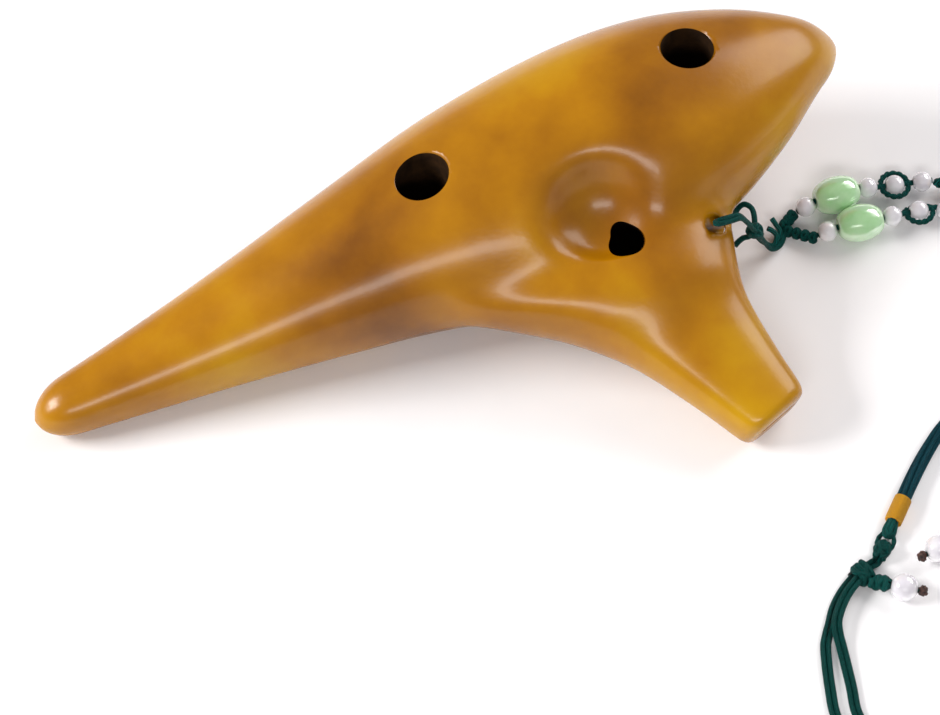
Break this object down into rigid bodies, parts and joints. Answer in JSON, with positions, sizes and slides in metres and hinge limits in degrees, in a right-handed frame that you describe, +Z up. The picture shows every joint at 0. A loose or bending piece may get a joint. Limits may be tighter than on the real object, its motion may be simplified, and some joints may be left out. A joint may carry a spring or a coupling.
{
  "type": "ocarina",
  "caption": "Hollow glazed clay ocarina with a scooped voicing window and thumb holes, its neck lanyard hitched through an eye by the mouthpiece.",
  "frame": {"origin": "on the table, under the middle of the ocarina's box (its lanyard not counted)", "axes": "+X along the body from the tail to the beak, +Y away from the mouthpiece, +Z up from the table through the thumb-hole side"},
  "size_m": [0.2362, 0.1715, 0.0424],
  "materials": {
    "glazed_clay": "gloss",
    "teal_cord": "matte",
    "neck_cord": "matte",
    "milky_bead": "gloss",
    "jade_bead": "gloss",
    "gold_thread": "satin",
    "burnt_cord": "matte"
  },
  "bodies": {
    "ocarina_and_lanyard": {"back_shell": "glazed_clay", "front_shell": "glazed_clay", "mouthpiece": "glazed_clay", "hitch_cord": "teal_cord", "hitch_loop": "teal_cord", "snake_knots_a": "teal_cord", "snake_knots_b": "teal_cord", "bead_string_a": "teal_cord", "cord_ring_a": "teal_cord", "end_braid_a": "teal_cord", "bead_string_b": "teal_cord", "cord_ring_b": "teal_cord", "end_braid_b": "teal_cord", "whipping_a1": "gold_thread", "neck_cord_a1": "neck_cord", "neck_coil_a": "neck_cord", "neck_cord_a2": "neck_cord", "whipping_a2": "gold_thread", "whipping_b1": "gold_thread", "neck_cord_b1": "neck_cord", "neck_coil_b": "neck_cord", "neck_cord_b2": "neck_cord", "whipping_b2": "gold_thread", "folded_end_a": "teal_cord", "folded_end_b": "teal_cord", "link_loop_a": "teal_cord", "link_loop_b": "teal_cord", "button_knot_a": "teal_cord", "button_knot_b": "teal_cord", "link_cord_a": "teal_cord", "link_cord_b": "teal_cord"},
    "white_bead_a1": {"white_bead_a1": "milky_bead"},
    "jade_barrel_a": {"jade_barrel_a": "jade_bead"},
    "white_bead_a2": {"white_bead_a2": "milky_bead"},
    "white_bead_a3": {"white_bead_a3": "milky_bead"},
    "white_bead_a4": {"white_bead_a4": "milky_bead"},
    "white_bead_b1": {"white_bead_b1": "milky_bead"},
    "jade_barrel_b": {"jade_barrel_b": "jade_bead"},
    "white_bead_b2": {"white_bead_b2": "milky_bead"},
    "white_bead_b3": {"white_bead_b3": "milky_bead"},
    "white_bead_b4": {"white_bead_b4": "milky_bead"},
    "knot_a": {"sliding_knot_a": "teal_cord", "tail_braid_a": "teal_cord", "burnt_knot_a": "burnt_cord"},
    "tail_bead_a": {"tail_bead_a": "milky_bead"},
    "knot_b": {"sliding_knot_b": "teal_cord", "tail_braid_b": "teal_cord", "burnt_knot_b": "burnt_cord"},
    "tail_bead_b": {"tail_bead_b": "milky_bead"}
  },
  "joints": [
    {"name": "white_bead_a1_spin", "type": "hinge", "parent": "ocarina_and_lanyard", "child": "white_bead_a1", "pos_m": [0.07389, 0.00158, 0.00328], "axis": [0.9518, 0, 0.3068], "continuous": true},
    {"name": "jade_barrel_a_spin", "type": "hinge", "parent": "ocarina_and_lanyard", "child": "jade_barrel_a", "pos_m": [0.08081, 0.00107, 0.00395], "axis": [0.9945, -0.1045, 0], "continuous": true},
    {"name": "white_bead_a2_spin", "type": "hinge", "parent": "ocarina_and_lanyard", "child": "white_bead_a2", "pos_m": [0.08772, 0.00012, 0.00342], "axis": [0.9491, -0.2017, -0.2419], "continuous": true},
    {"name": "white_bead_a3_spin", "type": "hinge", "parent": "ocarina_and_lanyard", "child": "white_bead_a3", "pos_m": [0.09344, -0.00123, 0.00256], "axis": [0.9666, -0.241, -0.0872], "continuous": true},
    {"name": "white_bead_a4_spin", "type": "hinge", "parent": "ocarina_and_lanyard", "child": "white_bead_a4", "pos_m": [0.09917, -0.00274, 0.00219], "axis": [0.9611, -0.2756, -0.0174], "continuous": true},
    {"name": "white_bead_b1_spin", "type": "hinge", "parent": "ocarina_and_lanyard", "child": "white_bead_b1", "pos_m": [0.07526, -0.00584, 0.00328], "axis": [0.9373, -0.1653, 0.3068], "continuous": true},
    {"name": "jade_barrel_b_spin", "type": "hinge", "parent": "ocarina_and_lanyard", "child": "jade_barrel_b", "pos_m": [0.08207, -0.00721, 0.00395], "axis": [0.9781, -0.2079, 0], "continuous": true},
    {"name": "white_bead_b2_spin", "type": "hinge", "parent": "ocarina_and_lanyard", "child": "white_bead_b2", "pos_m": [0.08898, -0.00845, 0.00364], "axis": [0.9848, -0.1035, -0.1392], "continuous": true},
    {"name": "white_bead_b3_spin", "type": "hinge", "parent": "ocarina_and_lanyard", "child": "white_bead_b3", "pos_m": [0.09483, -0.00932, 0.00308], "axis": [0.9824, -0.1732, -0.0698], "continuous": true},
    {"name": "white_bead_b4_spin", "type": "hinge", "parent": "ocarina_and_lanyard", "child": "white_bead_b4", "pos_m": [0.10018, -0.01137, 0.00247], "axis": [0.7566, -0.6349, -0.1564], "continuous": true},
    {"name": "knot_a_slide", "type": "hinge", "parent": "ocarina_and_lanyard", "child": "knot_a", "pos_m": [0.048, -0.08262, 0], "axis": [0, 0, 1], "range_deg": [-26, 0]},
    {"name": "tail_bead_a_spin", "type": "hinge", "parent": "knot_a", "child": "tail_bead_a", "pos_m": [0.0603, -0.08192, 0.0028], "axis": [-0.9994, -0.0349, 0], "continuous": true},
    {"name": "knot_b_slide", "type": "hinge", "parent": "ocarina_and_lanyard", "child": "knot_b", "pos_m": [0.05, -0.09862, 0], "axis": [0, 0, 1], "range_deg": [0, 28]},
    {"name": "tail_bead_b_spin", "type": "hinge", "parent": "knot_b", "child": "tail_bead_b", "pos_m": [0.05, -0.08682, 0.0028], "axis": [0.788, -0.6157, 0], "continuous": true}
  ]
}
